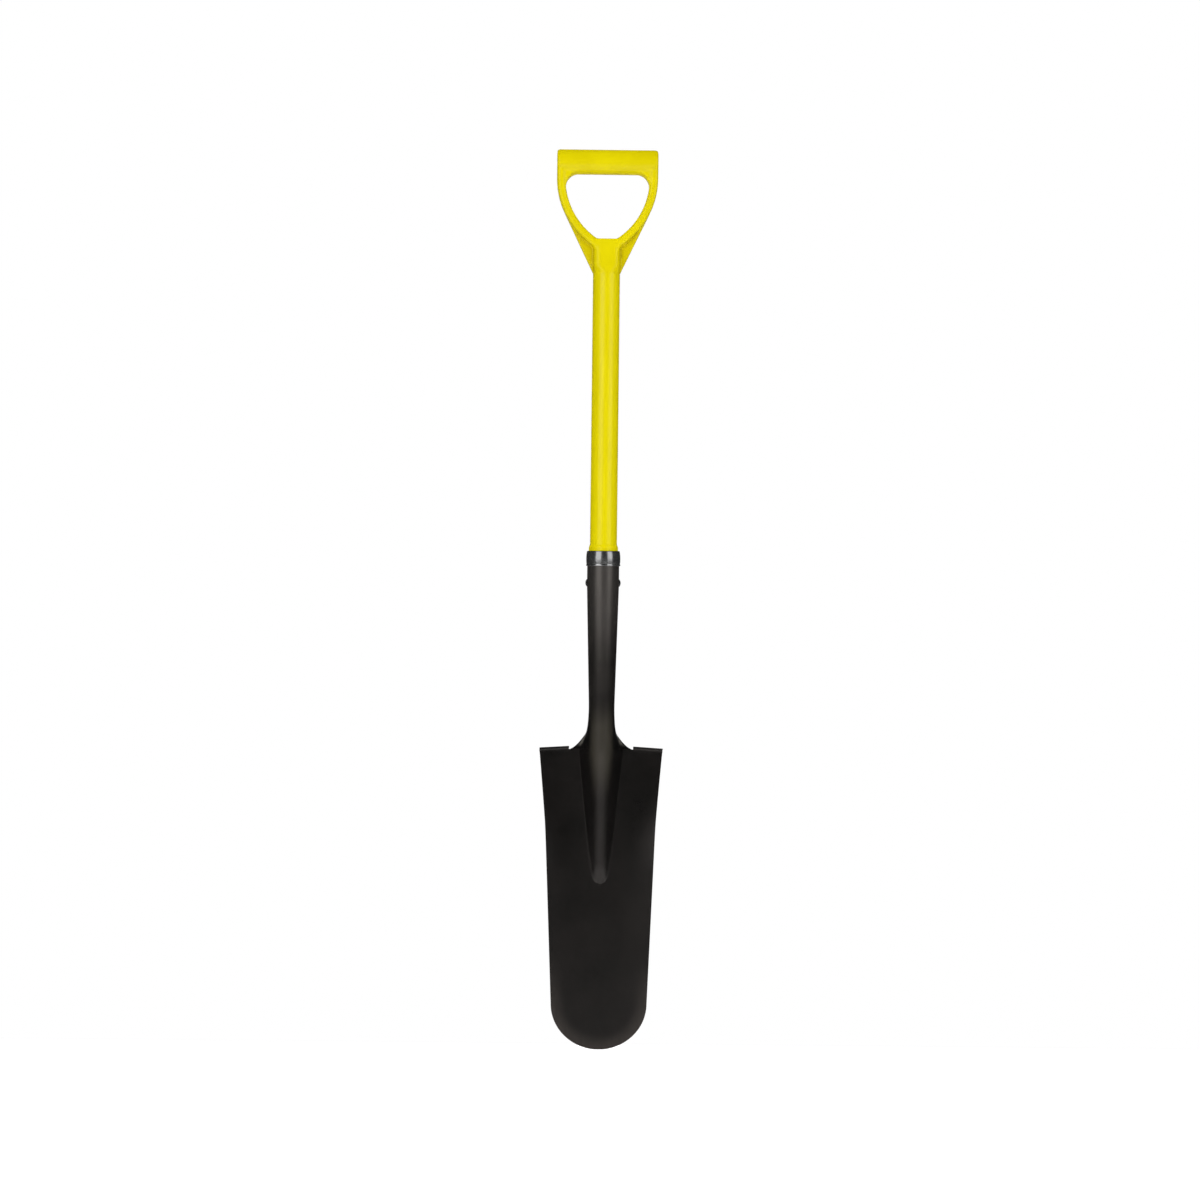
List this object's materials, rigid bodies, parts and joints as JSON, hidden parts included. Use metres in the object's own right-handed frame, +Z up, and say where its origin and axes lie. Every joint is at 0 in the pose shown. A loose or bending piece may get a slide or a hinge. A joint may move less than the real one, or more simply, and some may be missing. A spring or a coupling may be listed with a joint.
{
  "type": "trenching spade",
  "caption": "Long narrow digging spade with a round-ended pressed steel blade, turned steps, riveted socket with collar, straight shaft and moulded D-grip.",
  "frame": {"origin": "on the shaft's axis, level with the lowest point of the blade's round end", "axes": "+Z up the shaft towards the grip, -Y out of the blade's front, on which the ridge stands and the steps are turned, +X to the right seen from the front"},
  "size_m": [0.1668, 0.0462, 1.215],
  "materials": {
    "blade_steel": "satin black coating over pressed steel sheet, greyer on the socket",
    "collar_steel": "bright plated ring",
    "rivet_steel": "black coated solid rivet",
    "sleeve_plastic": "satin yellow moulded polymer",
    "shaft_fibreglass": "smooth yellow fibreglass with a resin-rich skin",
    "core_wood": "plain dowel",
    "grip_plastic": "satin yellow moulded polymer",
    "pin_steel": "rolled spring steel"
  },
  "bodies": {
    "root": {"blade": "blade_steel", "socket_collar": "collar_steel", "socket_rivet": "rivet_steel", "socket_sleeve": "sleeve_plastic", "shaft_tube": "shaft_fibreglass", "shaft_core": "core_wood", "d_grip": "grip_plastic", "grip_pin": "pin_steel"}
  },
  "joints": []
}
